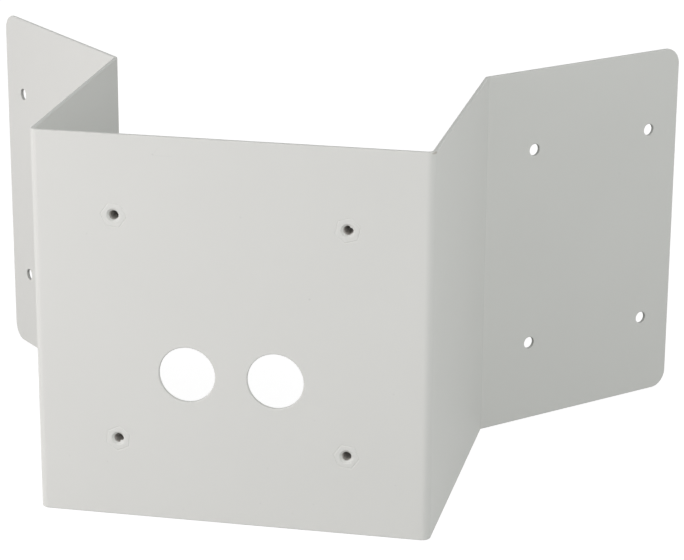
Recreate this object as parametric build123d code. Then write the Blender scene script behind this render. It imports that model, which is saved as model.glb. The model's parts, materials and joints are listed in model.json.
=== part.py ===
from build123d import *
import os
from math import cos, radians, sin

# A corner mount bracket for a camera: one folded steel sheet with four threaded standoffs
# pressed into its camera plate.
# X runs along the camera plate, Y runs back towards the building and Z is up, in millimetres.
# The origin is the middle of the camera plate's front face, so X = 0 is the mirror plane.
# Seen from above the sheet is hat shaped: the plate, a web back from each end of it, opening a
# little, and a wing at the back of each web, turned out to lie on one wall of a building's
# outside corner.

# folded sheet
sheet_thickness = 1.5
sheet_height = 140.0
plate_width = 141.0         # over the two bends, to the outsides of the webs
web_depth = 109.0           # from the plate's front face to the fold of a wing, along the web
web_flare = 0.9             # each web opens outwards by this angle on its way back
wing_length = 92.5          # from the fold to the tip, along the wing's front face
wing_angle = 45.0           # from the plate's plane, so that the wings fit a square corner
bend_radius = 1.5           # inside of each bend
wing_corner_radius = 6.5

# wall screw holes, four in each wing
wall_hole_diameter = 4.5
wall_hole_from_fold = 22.5  # centre of the inner pair
wall_hole_from_tip = 14.0   # centre of the outer pair
wall_hole_from_end = 31.25  # centres from the sheet's top and bottom edges

# cable holes, side by side below the middle of the plate
cable_hole_diameter = 20.0
cable_hole_gap = 11.5       # metal between the two holes
cable_hole_drop = 15.25     # centres below the middle of the plate

# threaded standoffs, at the corners of a square on the plate
camera_hole_spacing = 82.0
thread_size = 4.0
thread_pitch = 0.7
barrel_wall = 1.55          # from the thread's outer diameter to the barrel's outside
head_overhang = 0.45        # from the barrel to a flat of the hexagonal head
standoff_length = 12.0      # from the plate's front face to the barrel's end
metal_under_head = 0.6      # sheet left behind the sunk head
groove_depth = 0.35         # radial depth of the groove that the sheet is pressed into
mouth_margin = 0.5          # the mouth's chamfer starts this far outside the thread
end_chamfer = 0.3           # on both edges of the barrel's end
witness_chamfer = 0.15      # on the head's rim, which shows as a faint hexagon in the plate
standoff_turns = {          # each was pressed in as it came, seen from the front, in degrees
    (-1, 1): -7.0,
    (1, 1): 16.0,
    (-1, -1): 25.0,
    (1, -1): -7.5,
}

# sizes that follow from those above
bend_outer_radius = bend_radius + sheet_thickness
thread_bore_diameter = thread_size - thread_pitch
barrel_diameter = thread_size + 2 * barrel_wall
hexagon_across_flats = barrel_diameter + 2 * head_overhang
neck_diameter = barrel_diameter - 2 * groove_depth
mouth_diameter = thread_size + 2 * mouth_margin
head_height = sheet_thickness - metal_under_head
groove_width = metal_under_head / 2
wall_hole_row = wing_length - wall_hole_from_fold - wall_hole_from_tip
wall_hole_rise = sheet_height - 2 * wall_hole_from_end

web_heading = 90 - web_flare
wing_fold_x = plate_width / 2 + web_depth * cos(radians(web_heading))
wing_fold_y = web_depth * sin(radians(web_heading))
wing_cos = cos(radians(wing_angle))
wing_sin = sin(radians(wing_angle))


def set_back(point, heading_in, heading_out, behind):
    """A corner of the front face's line, moved to the line this far behind it."""
    middle = radians((heading_in + heading_out) / 2)
    reach = behind / cos(radians((heading_out - heading_in) / 2))
    return (point[0] - reach * sin(middle), point[1] + reach * cos(middle))


def sheet_line(behind):
    """The sheet's outline in plan, tip to tip, on the face this far behind its front face."""
    plate_end = (plate_width / 2, 0)
    wing_fold = (wing_fold_x, wing_fold_y)
    tip = (wing_fold_x + wing_length * wing_cos, wing_fold_y + wing_length * wing_sin)
    right = [
        set_back(plate_end, 0, web_heading, behind),
        set_back(wing_fold, web_heading, wing_angle, behind),
        set_back(tip, wing_angle, wing_angle, behind),
    ]
    left = [(-x, y) for x, y in reversed(right)]
    plate_bend = bend_outer_radius - behind
    wing_bend = bend_radius + behind
    return FilletPolyline(*left, *right, radius=[wing_bend, plate_bend, plate_bend, wing_bend])


def plate_plane():
    """The plate's front face: x to the right, y up and z out to the front."""
    return Plane(origin=(0, 0, 0), x_dir=(1, 0, 0), z_dir=(0, -1, 0))


def wing_plane(side):
    """A wing's front face, side -1 on the left and 1 on the right: x from the fold to the tip."""
    fold = (side * wing_fold_x, wing_fold_y, 0)
    return Plane(origin=fold, x_dir=(side * wing_cos, wing_sin, 0), z_dir=(side * wing_sin, -wing_cos, 0))


def drill(diameter):
    """A cutter through the sheet, placed on its front face."""
    return Pos(0, 0, -sheet_thickness / 2) * Cylinder(diameter / 2, 2 * sheet_thickness)


def standoff_body(length):
    """A standoff with no bore: hexagonal head flush at z = 0, clinch groove and round barrel."""
    head = extrude(RegularPolygon(hexagon_across_flats / 2, 6, major_radius=False), -head_height)
    barrel = Pos(0, 0, -length / 2) * Cylinder(barrel_diameter / 2, length)
    groove_middle = -head_height - groove_width / 2
    groove = Pos(0, 0, groove_middle) * (
        Cylinder(barrel_diameter, groove_width) - Cylinder(neck_diameter / 2, groove_width)
    )
    return head + barrel - groove


def standoff():
    """The whole standoff: rim and end chamfered, and its bore chamfered at both mouths."""
    body = standoff_body(standoff_length)
    body = chamfer(body.faces().sort_by(Axis.Z)[-1].edges(), witness_chamfer)
    body = chamfer(body.faces().sort_by(Axis.Z)[0].edges(), end_chamfer)
    bore = thread_bore_diameter / 2
    mouth = mouth_diameter / 2
    outline = Polyline(
        (0, 0),
        (mouth, 0),
        (bore, bore - mouth),
        (bore, end_chamfer - standoff_length),
        (bore + end_chamfer, -standoff_length),
        (0, -standoff_length),
        close=True,
    )
    return body - revolve(Plane.XZ * make_face(outline), Axis.Z)


def standoff_places():
    """One location for each standoff, on the plate's front face and turned as it was pressed in."""
    half = camera_hole_spacing / 2
    return [
        plate_plane() * Pos(across * half, up * half, 0) * Rot(0, 0, turn)
        for (across, up), turn in standoff_turns.items()
    ]


def folded_bracket():
    """The sheet: folded outline, rounded wing corners, wall and cable holes, and clinch seats."""
    front = sheet_line(0)
    back = sheet_line(sheet_thickness)
    tips = [Line(front @ end, back @ end) for end in (0, 1)]
    plan = make_face([*front.edges(), *back.edges(), *tips])
    sheet = extrude(plan, sheet_height / 2, both=True)

    wing_tip = wing_fold_x + wing_length * wing_cos
    corners = [
        edge
        for edge in sheet.edges().filter_by(Plane.XY)
        if edge.length < 2 * sheet_thickness and abs(edge.center().X) > wing_tip - sheet_thickness
    ]
    sheet = fillet(corners, wing_corner_radius)

    for side in (-1, 1):
        middle = wall_hole_from_fold + wall_hole_row / 2
        holes = GridLocations(wall_hole_row, wall_hole_rise, 2, 2)
        for place in holes:
            sheet -= wing_plane(side) * Pos(middle, 0, 0) * place * drill(wall_hole_diameter)
        cable_x = side * (cable_hole_diameter + cable_hole_gap) / 2
        sheet -= plate_plane() * Pos(cable_x, -cable_hole_drop, 0) * drill(cable_hole_diameter)

    for place in standoff_places():
        sheet -= place * standoff_body(2 * sheet_thickness)
    return sheet


def clinch_standoffs():
    """The four standoffs, each a solid of its own."""
    return Compound(children=[place * standoff() for place in standoff_places()])


os.makedirs("parts", exist_ok=True)
export_step(folded_bracket(), "parts/folded_bracket.step")
export_step(clinch_standoffs(), "parts/clinch_standoffs.step")
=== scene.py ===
import json
import math

import bpy
import numpy as np
from mathutils import Matrix, Vector


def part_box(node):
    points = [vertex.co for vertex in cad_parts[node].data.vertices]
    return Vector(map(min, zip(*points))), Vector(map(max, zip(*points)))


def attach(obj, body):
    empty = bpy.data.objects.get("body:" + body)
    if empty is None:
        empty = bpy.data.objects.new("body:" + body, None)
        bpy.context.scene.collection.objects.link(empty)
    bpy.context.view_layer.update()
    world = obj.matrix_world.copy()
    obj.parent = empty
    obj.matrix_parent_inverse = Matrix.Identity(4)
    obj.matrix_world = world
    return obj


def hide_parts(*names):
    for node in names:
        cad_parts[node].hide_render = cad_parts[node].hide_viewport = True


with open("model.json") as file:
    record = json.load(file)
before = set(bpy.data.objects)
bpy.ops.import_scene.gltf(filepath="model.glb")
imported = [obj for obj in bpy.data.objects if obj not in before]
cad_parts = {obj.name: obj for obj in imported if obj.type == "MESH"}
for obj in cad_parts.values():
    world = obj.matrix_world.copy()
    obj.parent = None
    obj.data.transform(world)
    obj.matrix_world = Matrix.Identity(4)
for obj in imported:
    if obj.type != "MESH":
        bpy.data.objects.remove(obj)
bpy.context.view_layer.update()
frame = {"record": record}

# A corner mount bracket for a camera, dressed for its portrait: one folded sheet under a light
# powder coat, and four threaded standoffs pressed into its plate and coated with it.
# The sheet is worked out flat, as a blank with its holes, and then folded, so that every point of
# it is first a place along the sheet, a height and a depth behind the front face, in metres.

mounts = {mount["name"]: mount for mount in frame["record"]["mounts"]}

sheet = {
    "thickness": mounts["cable_hole_right"]["dims"]["length_mm"] / 1000,
    "height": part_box("folded_bracket")[1].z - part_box("folded_bracket")[0].z,
    "plateWidth": 0.141,                # over the outsides of the two webs, at the bends
    "webDepth": 0.109,                  # from the plate's front face to a wing's fold
    "webFlare": math.radians(0.9),      # how far each web opens outwards
    "wingLength": 0.0925,               # from the fold to the tip
    "wingAngle": math.radians(45.0),    # from the plate's plane
    "bendInside": 0.0015,
    "cornerRadius": 0.0065,
    "edgeRadius": 0.0004,               # the coat rounds every cut edge
    "cellSteps": 18,                    # mesh steps along each side of the square round a hole
    "bendSteps": 16,
    "webSteps": 4,
    "foldSteps": 8,
    "cornerSteps": 12,
    "edgeSteps": 3,                     # from a square to the top or the bottom edge
}
bendRadius = sheet["bendInside"] + sheet["thickness"]
bendTurn = math.pi / 2 - sheet["webFlare"]
foldTurn = bendTurn - sheet["wingAngle"]
bendSetback = bendRadius * math.tan(bendTurn / 2)
foldSetback = sheet["bendInside"] * math.tan(foldTurn / 2)
bendStart = sheet["plateWidth"] / 2 - bendSetback
bendEnd = bendStart + bendRadius * bendTurn
foldStart = bendEnd + sheet["webDepth"] - bendSetback - foldSetback
foldEnd = foldStart + sheet["bendInside"] * foldTurn
sheetEnd = foldEnd + sheet["wingLength"] - foldSetback
foldX = sheet["plateWidth"] / 2 + sheet["webDepth"] * math.sin(sheet["webFlare"])
foldY = sheet["webDepth"] * math.cos(sheet["webFlare"])


# The folded line in plan: straight stretches keep their heading and round ones turn it evenly, so
# each stretch adds its own closed form, and the left half is the right one mirrored. What comes
# back is the place on the line and the way along the sheet there, each as x and y.
def sheetLine(along):
    side = np.where(along < 0, -1.0, 1.0)
    run = np.abs(along)
    bent = np.clip((run - bendStart) / bendRadius, 0, bendTurn)
    folded = np.clip((run - foldStart) / sheet["bendInside"], 0, foldTurn)
    web = np.clip(run - bendEnd, 0, foldStart - bendEnd)
    wing = np.maximum(run - foldEnd, 0)
    x = np.minimum(run, bendStart) + bendRadius * np.sin(bent) + web * math.cos(bendTurn)
    x = x + sheet["bendInside"] * (math.sin(bendTurn) - np.sin(bendTurn - folded))
    x = x + wing * math.cos(sheet["wingAngle"])
    y = bendRadius * (1 - np.cos(bent)) + web * math.sin(bendTurn)
    y = y + sheet["bendInside"] * (np.cos(bendTurn - folded) - math.cos(bendTurn))
    y = y + wing * math.sin(sheet["wingAngle"])
    heading = bent - folded
    return side * x, y, np.cos(heading), side * np.sin(heading)


# A point is its line's place, moved back by its depth, at its height. A direction given as along,
# up and out of the front face turns with the line in the same way.
def foldUp(place, direction):
    along, up, depth = place
    x, y, headX, headY = sheetLine(along)
    points = np.stack([x - depth * headY, y + depth * headX, up], axis=-1)
    goAlong, goUp, goOut = direction
    normalX = goAlong * headX + goOut * headY
    normalY = goAlong * headY - goOut * headX
    return points, np.stack([normalX, normalY, goUp], axis=-1)


# A line through the points with each corner turned as an arc: sines along the way in, and one
# minus cosines square to it. Its facing side is on its right where depth counts downwards, and
# what comes back is offset, depth and the two parts of the facing: along the offset and out of
# the front.
def roundedLine(points, radii, steps=5):
    points = [np.array(point, float) for point in points]
    legs = [after - before for before, after in zip(points, points[1:])]
    headings = [leg / np.linalg.norm(leg) for leg in legs]
    places = [points[0][None]]
    ways = [headings[0][None]]
    for corner, radius, into, outOf in zip(points[1:], radii, headings, headings[1:]):
        turn = math.atan2(into[0] * outOf[1] - into[1] * outOf[0], into @ outOf)
        start = corner - into * radius * math.tan(abs(turn) / 2)
        swept = np.linspace(0, turn, steps)[:, None]
        square = np.array([-into[1], into[0]])
        reach = radius * math.copysign(1, turn)
        places.append(start + reach * (np.sin(swept) * into + (1 - np.cos(swept)) * square))
        ways.append(np.cos(swept) * into + np.sin(swept) * square)
    places = np.concatenate(places + [points[-1][None]])
    ways = np.concatenate(ways + [headings[-1][None]])
    return places[:, 0], places[:, 1], ways[:, 1], ways[:, 0]


# Quads of a grid of points, which face along its first direction crossed with its second.
def gridFaces(rows, columns, closeRows=False, closeColumns=False):
    index = np.arange(rows * columns).reshape(rows, columns)
    if closeRows:
        index = np.concatenate([index, index[:1]])
    if closeColumns:
        index = np.concatenate([index, index[:, :1]], axis=1)
    corners = [index[:-1, :-1], index[1:, :-1], index[1:, 1:], index[:-1, 1:]]
    return np.stack(corners, axis=-1)


# Patches are joined into one mesh: points that fall on the same tiny cube of space become one
# point, which keeps the mean of their facings. A face that shrinks to a line by it is dropped.
def makePiece(name, patches, weldSize=1.37e-6):
    points = np.concatenate([patch["points"].reshape(-1, 3) for patch in patches])
    normals = np.concatenate([patch["normals"].reshape(-1, 3) for patch in patches])
    marks = np.concatenate([patch["mark"].reshape(-1) for patch in patches])
    starts = np.cumsum([0] + [patch["mark"].size for patch in patches])
    faces = [patch["faces"].reshape(-1, 4) + start for patch, start in zip(patches, starts)]
    cubes = np.round(points / weldSize).astype(np.int64)
    _, first, welded = np.unique(cubes, axis=0, return_index=True, return_inverse=True)
    welded = welded.reshape(-1)
    facing = np.zeros((len(first), 3))
    np.add.at(facing, welded, normals)
    facing /= np.linalg.norm(facing, axis=1, keepdims=True)
    faces = welded[np.concatenate(faces)]
    flat = (faces[:, 0] == faces[:, 1]) & (faces[:, 2] == faces[:, 3])
    faces = faces[~flat]
    mesh = bpy.data.meshes.new(name)
    mesh.from_pydata(points[first].tolist(), [], faces.tolist(), shade_flat=False)
    mesh.normals_split_custom_set_from_vertices(facing.tolist())
    mark = mesh.attributes.new(patches[0]["markName"], "FLOAT", "POINT")
    mark.data.foreach_set("value", marks[first].astype(np.float32))
    piece = bpy.data.objects.new(name, mesh)
    bpy.context.scene.collection.objects.link(piece)
    print(name, len(first), "points", len(faces), "faces")
    return piece


# a patch of surface with a mark at each point for the material to read, folded up with the sheet
def makePatch(place, direction, faces, mark, markName):
    points, normals = foldUp(place, direction)
    mark = np.broadcast_to(mark, points.shape[:-1])
    return {"points": points, "normals": normals, "faces": faces, "mark": mark, "markName": markName}


# Mesh lines across a square cell are tangents of evenly turned angles, so that they meet its sides
# where evenly turned rays from its middle do.
def cellLines(middle, half):
    turns = np.linspace(-math.pi / 4, math.pi / 4, sheet["cellSteps"] + 1)
    return middle + half * np.tan(turns)


# mesh lines at even steps from low to high
def evenLines(low, high, steps):
    return np.linspace(low, high, steps + 1)


# stretches of mesh lines end to end, where each one's last line is the next one's first
def joinLines(stretches):
    return np.concatenate([stretch[:-1] for stretch in stretches] + [stretches[-1][-1:]])


# how far along the sheet a wall hole lies, from its place on the wing's back
def wallHoleAlong(mount):
    across = mount["pos_m"][0] - foldX
    back = mount["pos_m"][1] - foldY
    onWing = across * math.cos(sheet["wingAngle"]) + back * math.sin(sheet["wingAngle"])
    return foldEnd - foldSetback + onWing


# Holes in the blank, from the record's mounts, each in the middle of a square of the mesh
cableHole = mounts["cable_hole_right"]
seatReach = mounts["camera_holes"]["dims"]["spacing_x_mm"] / 2000

cells = {
    "cable": {
        "along": cableHole["pos_m"][0],
        "up": cableHole["pos_m"][2],
        "half": 0.0125,
        "radius": cableHole["dims"]["r_mm"] / 1000,
        "edgeMark": 1.0,
    },
    "seat": {"along": seatReach, "up": seatReach, "half": 0.007},
    "inner": {"half": 0.005, "edgeMark": 2.0},       # painted shade darkens the walls of these holes
    "outer": {"half": 0.005, "edgeMark": 2.0},
}
for row in ("inner", "outer"):
    holes = mounts["wall_holes_right_" + row]
    cells[row]["along"] = wallHoleAlong(holes)
    cells[row]["up"] = holes["dims"]["pcd_mm"] / 2000
    cells[row]["radius"] = holes["dims"]["hole_r_mm"] / 1000

standoff = {
    "turns": {                   # as pressed in, in degrees
        (-1, 1): -7.0,
        (1, 1): 16.0,
        (-1, -1): 25.0,
        (1, -1): -7.5,
    },
    "lumps": {                   # of coat on the bore's lip: angle, half width, thickness
        (-1, 1): [(-60.0, 22.0, 0.00012), (150.0, 40.0, -0.00008)],
        (1, 1): [(50.0, 19.0, 0.00042), (-12.0, 24.0, -0.0002)],
        (-1, -1): [(-52.0, 16.0, 0.0006), (-5.0, 18.0, -0.0001)],
        (1, -1): [(-58.0, 24.0, 0.00022)],
    },
    "lipReach": 0.0004,          # how far the lumps reach along the bore from the chamfer's end
    "lipFade": 0.0003,           # over which they rise from nothing at the bore's first ring
    "hexagon": 0.004,            # from the middle to a flat
    "headDepth": 0.0009,
    "neck": 0.0032,
    "neckEnd": 0.0012,
    "barrel": 0.00355,
    "length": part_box("clinch_standoffs")[1].y,
    "endChamfer": 0.0003,
    "endOpens": 0.00005,         # the bore's end is wider than the thread's root by this
    "endRing": 0.00002,          # and the end's flat starts this far outside it
    "bore": mounts["camera_holes"]["dims"]["hole_r_mm"] / 1000,
    "boreStart": 0.0004,         # depth of the bore's first ring, on the mouth's chamfer
    "mouth": 0.0025,
    "mouthRim": 0.0003,          # the coat rounds the mouth's rim by this
    "pitch": 0.0007,
    "threadRoot": 0.00198,
    "threadCrest": 0.25,         # the crest's flat, as a share of the pitch
    "threadFlank": 0.625,        # each flank, as a share of half the pitch
    "threadGrows": 0.0012,       # the coat fills the thread's start over this depth
    "threadStart": 0.27,         # turns from one standoff's thread start to the next one's
    "stepsPerTurn": 8,
    "coatEnds": 0.00035,         # below the chamfer the coat gives way to steel over this depth
    "seamWidth": 0.0003,         # half the width of the dip that the coat leaves over the seam
    "seamLevel": 2.2,            # the level coat's ring before the dip, in the same half widths
    "seamDepth": 0.0001,
    "seamRound": 0.0006,
    "proud": 0.00004,            # the head stands out of the plate by this much
}
slant = 0.7                      # both parts of a facing half way between two directions


# the blank's two faces, with squares left out for the holes, and the rim round them
def blank():
    half = sheet["height"] / 2
    thick = sheet["thickness"]
    edge = sheet["edgeRadius"]
    edgeSteps = sheet["edgeSteps"]
    cornerStart = sheetEnd - sheet["cornerRadius"]
    cornerReach = sheet["cornerRadius"] - edge
    top = half - edge
    cable, seat, inner, outer = [cells[kind] for kind in ("cable", "seat", "inner", "outer")]

    def gap(low, high, steps):
        return evenLines(low["along"] + low["half"], high["along"] - high["half"], steps)

    right = joinLines([
        evenLines(0, cable["along"] - cable["half"], 1),
        cellLines(cable["along"], cable["half"]),
        gap(cable, seat, 1),
        cellLines(seat["along"], seat["half"]),
        evenLines(seat["along"] + seat["half"], bendStart, 2),
        evenLines(bendStart, bendEnd, sheet["bendSteps"]),
        evenLines(bendEnd, foldStart, sheet["webSteps"]),
        evenLines(foldStart, foldEnd, sheet["foldSteps"]),
        evenLines(foldEnd, inner["along"] - inner["half"], 2),
        cellLines(inner["along"], inner["half"]),
        gap(inner, outer, 4),
        cellLines(outer["along"], outer["half"]),
        evenLines(outer["along"] + outer["half"], cornerStart, 1),
        cornerStart + cornerReach * np.sin(evenLines(0, math.pi / 2, sheet["cornerSteps"])),
    ])
    columns = np.concatenate([-right[:0:-1], right])

    # the wing's rows are as many as the plate's
    plateRows = joinLines([
        evenLines(-top, -seat["up"] - seat["half"], edgeSteps),
        cellLines(-seat["up"], seat["half"]),
        evenLines(-seat["up"] + seat["half"], cable["up"] - cable["half"], 1),
        cellLines(cable["up"], cable["half"]),
        evenLines(cable["up"] + cable["half"], seat["up"] - seat["half"], 3),
        cellLines(seat["up"], seat["half"]),
        evenLines(seat["up"] + seat["half"], top, edgeSteps),
    ])
    between = len(plateRows) - 1 - 2 * (edgeSteps + sheet["cellSteps"])
    wingRows = joinLines([
        evenLines(-top, -inner["up"] - inner["half"], edgeSteps),
        cellLines(-inner["up"], inner["half"]),
        evenLines(-inner["up"] + inner["half"], inner["up"] - inner["half"], between),
        cellLines(inner["up"], inner["half"]),
        evenLines(inner["up"] + inner["half"], top, edgeSteps),
    ])

    # the rows move evenly from the plate's places to the wing's along the web, and draw in round
    # a wing's corner by the cosine of its arc
    onWing = np.clip((np.abs(columns) - bendEnd) / (foldStart - bendEnd), 0, 1)
    rounding = np.arcsin(np.clip((np.abs(columns) - cornerStart) / cornerReach, 0, 1))
    reach = (half - sheet["cornerRadius"] + cornerReach * np.cos(rounding)) / top
    rows = plateRows[None] * (1 - onWing[:, None]) + wingRows[None] * onWing[:, None]
    up = rows * reach[:, None]
    along = np.repeat(columns[:, None], len(plateRows), axis=1)

    # the squares round the holes are left out of both faces
    faces = gridFaces(*up.shape)
    kept = np.ones(faces.shape[:2], bool)
    squares = []
    for side in (-1, 1):
        squares.append(("cable", side, cable["up"], plateRows))
        for level in (-1, 1):
            squares.append(("seat", side, level * seat["up"], plateRows))
            squares.append(("inner", side, level * inner["up"], wingRows))
            squares.append(("outer", side, level * inner["up"], wingRows))
    for kind, side, level, lines in squares:
        cell = cells[kind]
        first = np.abs(columns - (side * cell["along"] - cell["half"])).argmin()
        low = np.abs(lines - (level - cell["half"])).argmin()
        kept[first:first + sheet["cellSteps"], low:low + sheet["cellSteps"]] = False
    faces = faces[kept]
    zero = np.zeros_like(up)
    patches = [
        makePatch((along, up, zero), (zero, zero, zero + 1), faces, 0.0, "edge"),
        makePatch((along, up, zero + thick), (zero, zero, zero - 1), faces[:, ::-1], 0.0, "edge"),
    ]

    # the rim: the outline of the front face, carried out and back round a rounded edge
    corner = np.sign(columns) * rounding
    one = np.ones(up.shape[1] - 1)
    loops = [
        (along[:-1, 0], up[:-1, 0], np.sin(corner[:-1]), -np.cos(corner[:-1])),
        (along[-1, :-1], up[-1, :-1], one, 0 * one),
        (along[:0:-1, -1], up[:0:-1, -1], np.sin(corner[:0:-1]), np.cos(corner[:0:-1])),
        (along[0, :0:-1], up[0, :0:-1], -one, 0 * one),
    ]
    loopAlong, loopUp, outAlong, outUp = [np.concatenate(parts) for parts in zip(*loops)]
    line = roundedLine([(0, 0), (edge, 0), (edge, thick), (0, thick)], [edge, edge])
    offset, depth, facingOut, facingFront = [part[1:-1, None] for part in line]
    place = (loopAlong + offset * outAlong, loopUp + offset * outUp, depth + 0 * loopUp)
    direction = (facingOut * outAlong, facingOut * outUp, facingFront + 0 * loopUp)
    rimFaces = gridFaces(*place[0].shape, closeColumns=True)
    patches.append(makePatch(place, direction, rimFaces, np.abs(facingOut), "edge"))
    return patches, squares


# Rays from a cell's middle, round the compass at even steps. They run clockwise round a hole.
def cellRays():
    count = 4 * sheet["cellSteps"]
    return -np.arange(count) * 2 * math.pi / count


# A ring's rays are given as their angles, their lengths and the angles that the surface faces. A
# round ring's have one length and face along themselves.
def roundRays(rays):
    return rays, np.ones(len(rays)), rays


# A hexagon's rays are turned a little, so that one meets each corner. The distance to a side along
# a ray is the flat's distance over the cosine of the angle between them. The facing of a side is
# its own, and half way between the two at a corner.
def hexagonRays(rays, turn):
    step = 2 * math.pi / len(rays)
    corner = math.radians(turn)
    twist = (corner + step / 2) % step - step / 2
    turned = rays + twist
    fromCorner = (turned - corner + step / 4) % (math.pi / 3) - step / 4
    fromFlat = fromCorner - math.pi / 6
    onCorner = np.abs(fromCorner) < step / 4
    facing = turned - np.where(onCorner, 0, fromFlat)
    return turned, 1 / np.cos(fromFlat), facing


# Rings as arrays with a row for each. A ring is its rays, its reach, its depth and the two parts
# of its facing: along the rays and out of the front.
def stackRings(rings):
    angle = np.stack([ring[0][0] for ring in rings])
    reach = np.stack([ring[0][1] * ring[1] for ring in rings])
    facing = np.stack([ring[0][2] for ring in rings])
    even = [np.array([ring[part] for ring in rings])[:, None] + 0 * reach for part in (2, 3, 4)]
    return angle, reach, facing, *even


# A sleeve goes in from the square round a hole: rings shrink to the rim, turn round it, run down
# the wall and open again to the square on the back. Each ring is rays times a reach plus a depth.
def sleeve(middle, level, half, rings, markScale=1.0):
    rays = cellRays()
    straight = roundRays(rays)
    square = half / np.maximum(np.abs(np.cos(rays)), np.abs(np.sin(rays)))
    front = (straight, square, 0.0, 0.0, 1.0)
    back = (straight, square, sheet["thickness"], 0.0, -1.0)
    angle, reach, facing, depth, inward, forward = stackRings([front, *rings, back])
    place = (middle + np.cos(angle) * reach, level + np.sin(angle) * reach, depth)
    direction = (-np.cos(facing) * inward, -np.sin(facing) * inward, forward)
    faces = gridFaces(*reach.shape, closeColumns=True)
    return makePatch(place, direction, faces, markScale * np.abs(inward), "edge")


# a round hole: a straight wall between two rounded rims
def roundHole(middle, level, cell):
    edge = sheet["edgeRadius"]
    thick = sheet["thickness"]
    straight = roundRays(cellRays())
    line = roundedLine([(-edge, 0), (0, 0), (0, thick), (-edge, thick)], [edge, edge])
    rings = [(straight, cell["radius"] - offset, *rest) for offset, *rest in zip(*line)]
    return sleeve(middle, level, cell["half"], rings[1:-1], cell["edgeMark"])


# the coat's dip towards a seam: level, then rounded into a slope down to it
def seamDip(level):
    width = standoff["seamWidth"]
    start = (-standoff["seamLevel"] * width, level)
    line = [start, (-width, level), (0, standoff["seamDepth"])]
    return roundedLine(line, [standoff["seamRound"]], steps=6)


# The seat of a standoff: the coat dips to the hexagon's seam, the pocket's wall runs down beside
# the head, its floor comes in to the lip pressed into the groove, and the hole opens at the barrel.
def standoffSeat(middle, level, turn):
    rays = cellRays()
    straight = roundRays(rays)
    hexed = hexagonRays(rays, turn)
    rings = [(hexed, standoff["hexagon"] - offset, *rest) for offset, *rest in zip(*seamDip(0))]
    rings += [
        (hexed, standoff["hexagon"], standoff["headDepth"], slant, slant),
        (straight, standoff["neck"], standoff["headDepth"], slant, slant),
        (straight, standoff["neck"], standoff["neckEnd"], slant, -slant),
        (straight, standoff["barrel"], standoff["neckEnd"], slant, -slant),
        (straight, standoff["barrel"], sheet["thickness"], 0.0, -1.0),
    ]
    return sleeve(middle, level, cells["seat"]["half"], rings)


# the whole sheet: the blank, with a sleeve in each of its squares
def foldedSheet():
    patches, squares = blank()
    for kind, side, level, _ in squares:
        cell = cells[kind]
        middle = side * cell["along"]
        if kind == "seat":
            turn = standoff["turns"][side, 1 if level > 0 else -1]
            patches.append(standoffSeat(middle, level, turn))
        else:
            patches.append(roundHole(middle, level, cell))
    return makePiece("folded_sheet", patches)


# The bore's radius at each depth, given as a column, along each ray. It is the widest of three:
# the chamfer at the mouth, the chamfer at the end, and the thread, whose turning phase grows with
# depth and angle and whose groove is a clipped triangle wave of that phase. The groove deepens
# evenly where coat fills it, and each lump of coat is a bell over the angle times one over depth.
def boreRadius(rays, inside, corner, threadStart):
    mouth = standoff["mouth"] - standoff["proud"]
    lipDepth = mouth - standoff["bore"]
    phase = (inside / standoff["pitch"] + rays / (2 * math.pi) + threadStart) % 1
    wave = 1 - np.abs(2 * phase - 1)
    groove = np.clip((wave - standoff["threadCrest"]) / standoff["threadFlank"], 0, 1)
    filled = np.clip((inside - lipDepth) / standoff["threadGrows"], 0, 1)
    thread = standoff["bore"] + (standoff["threadRoot"] - standoff["bore"]) * groove * filled
    frontCone = mouth - inside
    endCone = standoff["threadRoot"] + standoff["endOpens"] - (standoff["length"] - inside)
    bore = np.maximum(thread, np.maximum(frontCone, endCone))
    onLip = np.exp(-((inside - lipDepth) / standoff["lipReach"]) ** 2)
    onLip = onLip * np.clip((inside - standoff["boreStart"]) / standoff["lipFade"], 0, 1)
    for bearing, wide, lump in standoff["lumps"][corner]:
        away = (rays - math.radians(bearing) + math.pi) % (2 * math.pi) - math.pi
        bore = bore - lump * onLip * np.exp(-(away / math.radians(wide)) ** 2)
    coated = np.clip(1 - (inside - lipDepth) / standoff["coatEnds"], 0, 1) + 0 * bore
    return bore, coated


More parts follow.
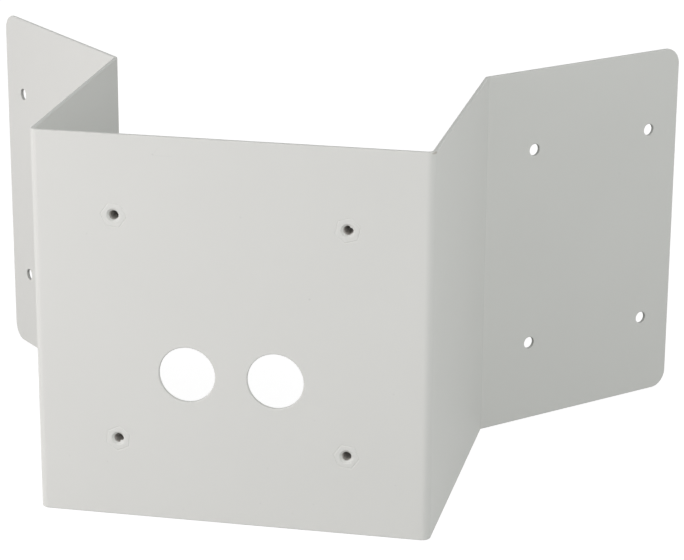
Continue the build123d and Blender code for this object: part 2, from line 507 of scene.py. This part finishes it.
# One standoff as a closed ring of rings: across its face, over the seam, down the head, groove and
# barrel, round the end and back up the bore, whose facing comes from its radius's two slopes.
def threadedStandoff(middle, level, corner, threadStart):
    rays = -cellRays()
    straight = roundRays(rays)
    hexed = hexagonRays(rays, standoff["turns"][corner])
    face = -standoff["proud"]
    mouth = standoff["mouth"]
    start = standoff["boreStart"]
    rim = standoff["mouthRim"]
    mouthLine = [(mouth - start + face, start), (mouth, face), (mouth + rim, face)]
    rings = [(straight, *ring) for ring in zip(*roundedLine(mouthLine, [rim]))]
    rings += [(hexed, standoff["hexagon"] + offset, *rest) for offset, *rest in zip(*seamDip(face))]
    rings += [
        (hexed, standoff["hexagon"], standoff["headDepth"], slant, -slant),
        (straight, standoff["neck"], standoff["headDepth"], slant, -slant),
        (straight, standoff["neck"], standoff["neckEnd"], slant, slant),
        (straight, standoff["barrel"], standoff["neckEnd"], 1.0, 0.0),
    ]
    barrel = standoff["barrel"]
    length = standoff["length"]
    chamfer = standoff["endChamfer"]
    endLine = [
        (barrel, sheet["thickness"]),
        (barrel, length - chamfer),
        (barrel - chamfer, length),
        (standoff["threadRoot"] + standoff["endOpens"] + standoff["endRing"], length),
    ]
    rings += [(straight, *ring) for ring in zip(*roundedLine(endLine, [chamfer, chamfer]))]
    angle, reach, facing, depth, outward, forward = stackRings(rings)

    steps = round((length - start) / standoff["pitch"] * standoff["stepsPerTurn"])
    inside = np.linspace(length, start, steps)[:, None]
    bore, coated = boreRadius(rays, inside, corner, threadStart)
    slope = np.gradient(bore, axis=0) / np.gradient(inside, axis=0)
    swing = np.roll(bore, -1, axis=1) - np.roll(bore, 1, axis=1)
    swing = swing / (2 * (rays[1] - rays[0])) / bore
    steep = np.sqrt(1 + slope ** 2 + swing ** 2)
    goAlong = (-np.cos(rays) - swing * np.sin(rays)) / steep
    goUp = (-np.sin(rays) + swing * np.cos(rays)) / steep

    angle = np.concatenate([angle, rays + 0 * bore])
    reach = np.concatenate([reach, bore])
    depth = np.concatenate([depth, inside + 0 * bore])
    place = (middle + np.cos(angle) * reach, level + np.sin(angle) * reach, depth)
    direction = (
        np.concatenate([np.cos(facing) * outward, goAlong]),
        np.concatenate([np.sin(facing) * outward, goUp]),
        np.concatenate([forward, -slope / steep]),
    )
    mark = np.concatenate([np.ones_like(facing), coated])
    faces = gridFaces(*reach.shape, closeRows=True, closeColumns=True)
    return makePatch(place, direction, faces, mark, "coat")


def standoffs():
    patches = []
    for number, corner in enumerate(standoff["turns"]):
        across, up = corner
        start = standoff["threadStart"] * number
        patches.append(threadedStandoff(across * seatReach, up * seatReach, corner, start))
    return makePiece("pressed_standoffs", patches)


view = {
    "frame": (684, 560),      # in pixels
    "focal": 2557.935,        # in pixels
    "azimuth": math.radians(11.4273),
    "elevation": math.radians(18.1904),
    "roll": math.radians(0.3394),
    "distance": 0.866828,
    "target": (0.0392735, 0.0, 0.0233243),
    "halfPixel": 0.5,         # a pixel's own middle, from its corner
    "sensorWidth": 36,        # in millimetres
    "clipStart": 0.01,
}


# The camera's place, and its directions to the right, up and back from what it looks at.
def cameraPlace():
    azimuth = view["azimuth"]
    elevation = view["elevation"]
    flat = math.cos(elevation)
    back = Vector((math.sin(azimuth) * flat, -math.cos(azimuth) * flat, math.sin(elevation)))
    right = Vector((math.cos(azimuth), math.sin(azimuth), 0))
    up = back.cross(right)
    tilted = math.cos(view["roll"]) * right + math.sin(view["roll"]) * up
    up = math.cos(view["roll"]) * up - math.sin(view["roll"]) * right
    shift = view["halfPixel"] * view["distance"] / view["focal"]
    target = Vector(view["target"]) - shift * tilted + shift * up
    return target + view["distance"] * back, tilted, up, back


# the point of a plane that shows at a pixel of the picture
def pixelOnPlane(pixel, point, facing):
    place, right, up, back = cameraPlace()
    across = (pixel[0] + view["halfPixel"] - view["frame"][0] / 2) / view["focal"]
    down = (pixel[1] + view["halfPixel"] - view["frame"][1] / 2) / view["focal"]
    ray = across * right - down * up - back
    return place + ray * ((Vector(point) - place).dot(Vector(facing)) / ray.dot(Vector(facing)))


# Shader helpers
def emptyTree(owner):
    owner.use_nodes = True
    owner.node_tree.nodes.clear()
    return owner.node_tree


def addNode(tree, kind, inputs=None, **settings):
    node = tree.nodes.new(kind)
    for key, value in settings.items():
        setattr(node, key, value)
    for key, value in (inputs or {}).items():
        if isinstance(value, bpy.types.NodeSocket):
            tree.links.new(value, node.inputs[key])
        else:
            node.inputs[key].default_value = value
    return node


def mathNode(tree, operation, first, second=0.0, third=0.0, clamp=False):
    inputs = {0: first, 1: second, 2: third}
    return addNode(tree, "ShaderNodeMath", inputs, operation=operation, use_clamp=clamp).outputs[0]


def vectorNode(tree, operation, first, second):
    inputs = {0: first, "Scale" if operation == "SCALE" else 1: second}
    node = addNode(tree, "ShaderNodeVectorMath", inputs, operation=operation)
    return node.outputs["Value" if operation in ("DOT_PRODUCT", "DISTANCE") else "Vector"]


# from the most where there is no distance, easing to nothing at the reach
def fadeNode(tree, distance, reach, most):
    inputs = {"Value": distance, "From Min": 0.0, "From Max": reach, "To Min": most, "To Max": 0.0}
    return addNode(tree, "ShaderNodeMapRange", inputs, interpolation_type="SMOOTHSTEP").outputs[0]


def colourNode(tree, colour):
    node = addNode(tree, "ShaderNodeRGB")
    node.outputs[0].default_value = colour
    return node.outputs[0]


def mixNode(tree, share, first, second):
    inputs = {0: share, "A": first, "B": second}
    return addNode(tree, "ShaderNodeMix", inputs, data_type="RGBA").outputs[2]


def newGroup(name, inputs, outputs):
    tree = bpy.data.node_groups.new(name, "ShaderNodeTree")
    for label, kind, value in inputs:
        socket = tree.interface.new_socket(label, in_out="INPUT", socket_type=kind)
        socket.default_value = value
    for label, kind in outputs:
        tree.interface.new_socket(label, in_out="OUTPUT", socket_type=kind)
    return tree, tree.nodes.new("NodeGroupInput"), tree.nodes.new("NodeGroupOutput")


coat = {
    "colour": (0.709, 0.72, 0.69, 1.0),
    "roughness": 0.5,
    "specular": 0.09,
    "peelSize": 0.0014,         # from one swell of the orange peel to the next
    "peelDepth": 0.000004,
    "grainFiner": 5.5,          # how many grains to a swell
    "grainDepth": 0.14,         # of a swell's depth
    "grainRough": 0.06,
    "driftScale": 28.0,         # slow changes to a metre
    "driftShade": 0.03,
    "driftRough": 0.1,
    "specks": 0.35,
    "speckScale": 95.0,         # places for a speck to a metre
    "speckRare": 0.82,          # the share of them that stay bare
    "speckLeast": 0.012,        # the smallest speck, of its place's size
    "speckGrows": 0.018,
    "speckDark": 0.12,
    "holeShadeDepth": 0.36,           # painted shade: how much darker the walls of the wall screw holes are coloured
    "rustDepth": 0.52,
    "rustColour": (0.3, 0.25, 0.19, 1.0),
    "bareSteel": (0.58, 0.56, 0.53, 1.0),
}


# Powder coat: swells of orange peel over a finer grain, a slow drift of shade, and rare specks
def coatFinish():
    inputs = [
        ("Peel Size", "NodeSocketFloat", coat["peelSize"]),
        ("Peel Depth", "NodeSocketFloat", coat["peelDepth"]),
        ("Specks", "NodeSocketFloat", coat["specks"]),
    ]
    outputs = [(label, "NodeSocketFloat") for label in ("Shade", "Roughness", "Height")]
    tree, given, result = newGroup("coatFinish", inputs, outputs)
    place = addNode(tree, "ShaderNodeTexCoord").outputs["Object"]

    def noise(scale, **detail):
        noiseInputs = {"Vector": place, "Scale": scale, **detail}
        return addNode(tree, "ShaderNodeTexNoise", noiseInputs).outputs["Fac"]

    scale = mathNode(tree, "DIVIDE", 1.0, given.outputs["Peel Size"])
    peel = noise(scale, Detail=1.5, Roughness=0.45)
    grain = noise(mathNode(tree, "MULTIPLY", scale, coat["grainFiner"]), Detail=1.0)
    drift = noise(coat["driftScale"], Detail=3.0, Roughness=0.6)
    swell = mathNode(tree, "ADD", peel, mathNode(tree, "MULTIPLY", grain, coat["grainDepth"]))
    height = mathNode(tree, "MULTIPLY", swell, given.outputs["Peel Depth"])

    # a cell of the pattern holds a speck only where its own random number is high
    cellInputs = {"Vector": place, "Scale": coat["speckScale"], "Randomness": 1.0}
    spots = addNode(tree, "ShaderNodeTexVoronoi", cellInputs)
    chance = addNode(tree, "ShaderNodeSeparateColor", {"Color": spots.outputs["Color"]})
    chosen = mathNode(tree, "GREATER_THAN", chance.outputs[0], coat["speckRare"])
    size = (coat["speckGrows"], coat["speckLeast"])
    spread = mathNode(tree, "MULTIPLY_ADD", chance.outputs[1], *size)
    near = fadeNode(tree, spots.outputs["Distance"], spread, 1.0)
    speck = mathNode(tree, "MULTIPLY", near, chosen)
    speck = mathNode(tree, "MULTIPLY", speck, given.outputs["Specks"])

    # the drift swings each value evenly about its middle
    fromDrift = (coat["driftShade"], 1 - coat["driftShade"] / 2)
    shade = mathNode(tree, "MULTIPLY_ADD", drift, *fromDrift)
    shade = mathNode(tree, "SUBTRACT", shade, mathNode(tree, "MULTIPLY", speck, coat["speckDark"]))
    fromDrift = (coat["driftRough"], coat["roughness"] - coat["driftRough"] / 2)
    rough = mathNode(tree, "MULTIPLY_ADD", drift, *fromDrift)
    rough = mathNode(tree, "MULTIPLY_ADD", grain, coat["grainRough"], rough)
    tree.links.new(shade, result.inputs["Shade"])
    tree.links.new(rough, result.inputs["Roughness"])
    tree.links.new(height, result.inputs["Height"])
    return tree


# Small marks on the coat, each at the pixel where the photograph shows it, with the share of light
# that it takes: on the plate, the right web and the right wing. The scratches run between two.
marks = {
    "reach": 0.00055,
    "length": 0.1,               # in pixels, as short as a point
    "plate": [
        (309, 299, 0.12), (152, 154, 0.1), (240, 217, 0.06), (393, 394, 0.055), (260, 503, 0.055),
        (107, 461, 0.05), (86, 233, 0.045), (313, 504, 0.045), (267, 468, 0.04), (395, 485, 0.04),
        (292, 513, 0.04), (69, 455, 0.04), (381, 289, 0.035), (183, 509, 0.035), (314, 420, 0.035),
    ],
    "web": [(473, 243, 0.035)],
    "wing": [(619, 173, 0.06), (518, 209, 0.045), (653, 187, 0.04)],
    "scratches": [(154, 155, 171, 156, 0.02), (154, 152, 158, 147, 0.02)],
    "scratchReach": 0.0004,
    "rust": (435.2, 152.4),      # on the top of the right bend
    "rustBehind": 0.0015,        # the front face
    "rustHalf": (0.0005, 0.001, 0.0),
    "rustReach": 0.0007,
}


# A mark is a line between two points, and may be as short as a point. The nearest point of the
# line is found by its share of the way: the line's dot product with the way to the place, over
# its dot product with itself. The mark eases out over its reach.
def scuffGroup():
    inputs = [
        ("From", "NodeSocketVector", (0, 0, 0)),
        ("To", "NodeSocketVector", (0, 0, 0)),
        ("Reach", "NodeSocketFloat", marks["reach"]),
        ("Depth", "NodeSocketFloat", 0.05),
    ]
    tree, given, result = newGroup("scuff", inputs, [("Shade", "NodeSocketFloat")])
    place = addNode(tree, "ShaderNodeTexCoord").outputs["Object"]
    line = vectorNode(tree, "SUBTRACT", given.outputs["To"], given.outputs["From"])
    toPlace = vectorNode(tree, "SUBTRACT", place, given.outputs["From"])
    along = vectorNode(tree, "DOT_PRODUCT", toPlace, line)
    square = vectorNode(tree, "DOT_PRODUCT", line, line)
    share = mathNode(tree, "DIVIDE", along, square, clamp=True)
    away = vectorNode(tree, "DISTANCE", toPlace, vectorNode(tree, "SCALE", line, share))
    fade = fadeNode(tree, away, given.outputs["Reach"], given.outputs["Depth"])
    tree.links.new(mathNode(tree, "SUBTRACT", 1.0, fade), result.inputs["Shade"])
    return tree


# the share of light that one mark leaves
def scuffShade(tree, scuffs, start, end, reach, depth):
    inputs = {"From": start, "To": end, "Reach": reach, "Depth": depth}
    return addNode(tree, "ShaderNodeGroup", inputs, node_tree=scuffs).outputs["Shade"]


# every mark's share of light, multiplied into the shade
def markedShade(tree, shade, scuffs):
    flare = sheet["webFlare"]
    turn = sheet["wingAngle"]
    planes = {
        "plate": ((0, 0, 0), (0, -1, 0)),
        "web": ((sheet["plateWidth"] / 2, 0, 0), (math.cos(flare), -math.sin(flare), 0)),
        "wing": ((foldX, foldY, 0), (math.sin(turn), -math.cos(turn), 0)),
    }
    lines = []
    for name, plane in planes.items():
        for x, y, depth in marks[name]:
            lines.append((plane, (x, y), (x + marks["length"], y), marks["reach"], depth))
    for x, y, endX, endY, depth in marks["scratches"]:
        lines.append((planes["plate"], (x, y), (endX, endY), marks["scratchReach"], depth))
    for plane, first, last, reach, depth in lines:
        ends = (pixelOnPlane(first, *plane), pixelOnPlane(last, *plane))
        shade = mathNode(tree, "MULTIPLY", shade, scuffShade(tree, scuffs, *ends, reach, depth))
    return shade


# a material with the coat's gloss, roughness and swells, whose colour is still to be linked
def coatMaterial(name, finishGroup):
    material = bpy.data.materials.new(name)
    tree = emptyTree(material)
    finish = addNode(tree, "ShaderNodeGroup", node_tree=finishGroup)
    shader = tree.nodes.new("ShaderNodeBsdfPrincipled")
    shader.inputs["Specular IOR Level"].default_value = coat["specular"]
    bumpInputs = {"Height": finish.outputs["Height"], "Distance": 1.0, "Strength": 1.0}
    bump = addNode(tree, "ShaderNodeBump", bumpInputs)
    tree.links.new(finish.outputs["Roughness"], shader.inputs["Roughness"])
    tree.links.new(bump.outputs[0], shader.inputs["Normal"])
    addNode(tree, "ShaderNodeOutputMaterial", {"Surface": shader.outputs[0]})
    return material, tree, finish, shader


# The sheet's coat, with its marks, painted shade on the walls of the small holes and with a speck of
# rust on the top of the right bend.
def sheetCoat(finishGroup, scuffs):
    material, tree, finish, shader = coatMaterial("sheet_coat", finishGroup)
    shade = markedShade(tree, finish.outputs["Shade"], scuffs)
    edge = addNode(tree, "ShaderNodeAttribute", attribute_name="edge").outputs["Fac"]
    # painted shade: where the edge mark is above 1, on the walls of the wall screw holes, the colour
    # is darkened
    holeShadeMask = mathNode(tree, "SUBTRACT", edge, 1.0, clamp=True)
    holeShadeFactor = mathNode(tree, "MULTIPLY_ADD", holeShadeMask, -coat["holeShadeDepth"], 1.0)
    shade = mathNode(tree, "MULTIPLY", shade, holeShadeFactor)
    tint = vectorNode(tree, "MULTIPLY", colourNode(tree, coat["colour"]), shade)
    spot = pixelOnPlane(marks["rust"], (0, marks["rustBehind"], 0), (0, -1, 0))
    half = Vector(marks["rustHalf"])
    amount = (marks["rustReach"], coat["rustDepth"])
    clean = scuffShade(tree, scuffs, spot - half, spot + half, *amount)
    tint = mixNode(tree, clean, colourNode(tree, coat["rustColour"]), tint)
    tree.links.new(tint, shader.inputs["Base Color"])
    return material


# the standoffs' coat, which gives way to bare steel down the bores
def standoffCoat(finishGroup):
    material, tree, finish, shader = coatMaterial("standoff_coat", finishGroup)
    tint = vectorNode(tree, "MULTIPLY", colourNode(tree, coat["colour"]), finish.outputs["Shade"])
    coated = addNode(tree, "ShaderNodeAttribute", attribute_name="coat").outputs["Fac"]
    tint = mixNode(tree, coated, colourNode(tree, coat["bareSteel"]), tint)
    tree.links.new(tint, shader.inputs["Base Color"])
    return material


sheetPiece = foldedSheet()
standoffPiece = standoffs()
finishGroup = coatFinish()
sheetPiece.data.materials.append(sheetCoat(finishGroup, scuffGroup()))
standoffPiece.data.materials.append(standoffCoat(finishGroup))
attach(sheetPiece, "root")
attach(standoffPiece, "root")
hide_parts("folded_bracket")
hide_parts("clinch_standoffs")
print("the bracket is dressed")

studio = {
    "ambient": 0.675,
    "floorReach": 5.0,          # from the middle to a side
    "floorDiffuse": 0.42,
    "floorSeenDiffuse": 0.22,
    "floorSeenGlow": 0.9,
    "flagReach": 0.19,
    "flagPlace": (0.09, 0.05, 0.42),
}

# Soft lamps, all aimed at the middle of the plate: the key on the left, a large one further away
# in front, and one raised on the right. Azimuth 0 is straight in front of the plate, and minus is
# to its left.
lamps = {
    "key": {
        "azimuth": -50, "elevation": -2, "distance": 0.66,
        "size": 0.6, "power": 4.3, "colour": (1.0, 0.945, 0.965),
    },
    "front": {
        "azimuth": -5, "elevation": 0, "distance": 1.2,
        "size": 1.2, "power": 1.26, "colour": (1.0, 1.0, 1.0),
    },
    "fill": {
        "azimuth": 66, "elevation": 27, "distance": 0.75,
        "size": 0.5, "power": 1.36, "colour": (1.0, 1.0, 1.0),
    },
}


# 1 where a ray comes from the camera, a reflection or glass, and 0 for plain light
def seenRay(tree):
    path = addNode(tree, "ShaderNodeLightPath")
    direct = mathNode(tree, "MAXIMUM", path.outputs["Is Camera Ray"], path.outputs["Is Glossy Ray"])
    return mathNode(tree, "MAXIMUM", direct, path.outputs["Is Transmission Ray"])


def studioWorld():
    world = bpy.data.worlds.new("studio")
    tree = emptyTree(world)
    rise = (1 - studio["ambient"], studio["ambient"])
    strength = mathNode(tree, "MULTIPLY_ADD", seenRay(tree), *rise)
    inputs = {"Color": (1, 1, 1, 1), "Strength": strength}
    background = addNode(tree, "ShaderNodeBackground", inputs)
    addNode(tree, "ShaderNodeOutputWorld", {"Surface": background.outputs[0]})
    bpy.context.scene.world = world


# a level square whose face takes its corners in the order given
def levelSquare(name, reach, place, face, material):
    x, y, z = place
    ways = ((-1, -1), (1, -1), (1, 1), (-1, 1))
    corners = [(x + across * reach, y + back * reach, z) for across, back in ways]
    mesh = bpy.data.meshes.new(name)
    mesh.from_pydata(corners, [], [face])
    mesh.materials.append(material)
    square = bpy.data.objects.new(name, mesh)
    bpy.context.scene.collection.objects.link(square)
    return square


def diffuse(tree, grey):
    return addNode(tree, "ShaderNodeBsdfDiffuse", {"Color": (grey, grey, grey, 1)}).outputs[0]


# where it is seen, the floor glows, and its dim diffuse part carries the object's shadow
def studioFloor():
    material = bpy.data.materials.new("floor")
    tree = emptyTree(material)
    plain = diffuse(tree, studio["floorDiffuse"])
    dim = diffuse(tree, studio["floorSeenDiffuse"])
    glowInputs = {"Color": (1, 1, 1, 1), "Strength": studio["floorSeenGlow"]}
    glow = addNode(tree, "ShaderNodeEmission", glowInputs).outputs[0]
    seen = addNode(tree, "ShaderNodeAddShader", {0: dim, 1: glow}).outputs[0]
    mixed = addNode(tree, "ShaderNodeMixShader", {0: seenRay(tree), 1: plain, 2: seen})
    addNode(tree, "ShaderNodeOutputMaterial", {"Surface": mixed.outputs[0]})
    place = (0, 0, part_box("folded_bracket")[0].z)
    floor = levelSquare("floor", studio["floorReach"], place, (0, 1, 2, 3), material)


# A black panel overhead, out of the camera's sight, keeps some of the light off the upper edges
def overheadFlag():
    material = bpy.data.materials.new("flag")
    tree = emptyTree(material)
    addNode(tree, "ShaderNodeOutputMaterial", {"Surface": diffuse(tree, 0)})
    flag = levelSquare("flag", studio["flagReach"], studio["flagPlace"], (3, 2, 1, 0), material)
    flag.visible_camera = False


def softLamp(name, place):
    lamp = bpy.data.lights.new(name, "AREA")
    lamp.shape = "SQUARE"
    lamp.size = place["size"]
    lamp.energy = place["power"]
    lamp.color = place["colour"]
    azimuth = math.radians(place["azimuth"])
    elevation = math.radians(place["elevation"])
    flat = math.cos(elevation)
    toLamp = Vector((math.sin(azimuth) * flat, -math.cos(azimuth) * flat, math.sin(elevation)))
    stand = bpy.data.objects.new(name, lamp)
    stand.location = toLamp * place["distance"]
    stand.rotation_euler = toLamp.to_track_quat("Z", "Y").to_euler()
    stand.visible_camera = False
    bpy.context.scene.collection.objects.link(stand)


def setCamera():
    place, right, up, back = cameraPlace()
    lens = bpy.data.cameras.new("camera")
    lens.sensor_width = view["sensorWidth"]
    lens.lens = view["focal"] / view["frame"][0] * lens.sensor_width
    lens.clip_start = view["clipStart"]
    camera = bpy.data.objects.new("camera", lens)
    turn = Matrix((right, up, back)).transposed()
    camera.matrix_world = Matrix.LocRotScale(place, turn.to_quaternion(), None)
    bpy.context.scene.collection.objects.link(camera)
    bpy.context.scene.camera = camera


studioWorld()
studioFloor()
overheadFlag()
for name, place in lamps.items():
    softLamp(name, place)
print("the studio is lit")

setCamera()
bpy.context.scene.view_settings.view_transform = "Standard"
